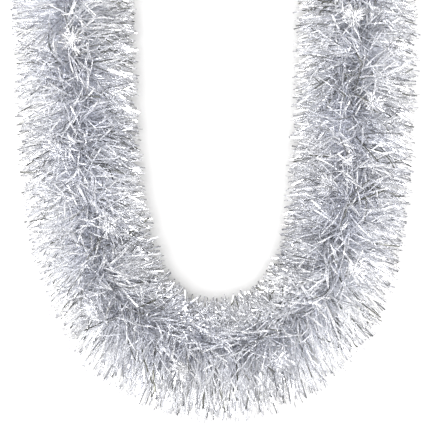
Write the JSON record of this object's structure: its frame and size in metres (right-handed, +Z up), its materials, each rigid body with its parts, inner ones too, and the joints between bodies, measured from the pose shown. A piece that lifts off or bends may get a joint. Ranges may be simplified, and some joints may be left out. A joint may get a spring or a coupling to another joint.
{
  "type": "tinsel boa",
  "caption": "Metallic tinsel boa lying in a U: a round pile of silver film strips gripped by a two-ply twisted core, with a pressed ferrule on each end.",
  "frame": {"origin": "on the surface that the boa lies on, under the middle of its box", "axes": "+Z up, the legs of the U run along +Y, the bend is at -Y, +X to the right of a viewer who has the bend nearest"},
  "size_m": [0.3555, 0.8987, 0.0938],
  "materials": {
    "tinsel_film": "metallised silver film strips, bright and cool, slightly creased",
    "core_cord": "grey twisted yarn, dull",
    "ferrule_metal": "pressed nickel-plated steel, satin"
  },
  "bodies": {
    "root": {"tinsel_section_01": "tinsel_film", "tinsel_section_02": "tinsel_film", "tinsel_section_03": "tinsel_film", "tinsel_section_04": "tinsel_film", "tinsel_section_05": "tinsel_film", "tinsel_section_06": "tinsel_film", "tinsel_section_07": "tinsel_film", "tinsel_section_08": "tinsel_film", "tinsel_section_09": "tinsel_film", "tinsel_section_10": "tinsel_film", "tinsel_section_11": "tinsel_film", "tinsel_section_12": "tinsel_film", "tinsel_section_13": "tinsel_film", "tinsel_section_14": "tinsel_film", "tinsel_section_15": "tinsel_film", "tinsel_section_16": "tinsel_film", "tinsel_section_17": "tinsel_film", "tinsel_section_18": "tinsel_film", "tinsel_section_19": "tinsel_film", "tinsel_section_20": "tinsel_film", "tinsel_section_21": "tinsel_film", "tinsel_section_22": "tinsel_film", "tinsel_section_23": "tinsel_film", "tinsel_section_24": "tinsel_film", "tinsel_section_25": "tinsel_film", "tinsel_section_26": "tinsel_film", "tinsel_section_27": "tinsel_film", "tinsel_section_28": "tinsel_film", "tinsel_section_29": "tinsel_film", "tinsel_section_30": "tinsel_film", "tinsel_section_31": "tinsel_film", "tinsel_section_32": "tinsel_film", "tinsel_section_33": "tinsel_film", "tinsel_section_34": "tinsel_film", "tinsel_section_35": "tinsel_film", "tinsel_section_36": "tinsel_film", "core_ply_upper": "core_cord", "core_ply_lower": "core_cord", "ferrule_left": "ferrule_metal", "ferrule_right": "ferrule_metal"}
  },
  "joints": []
}
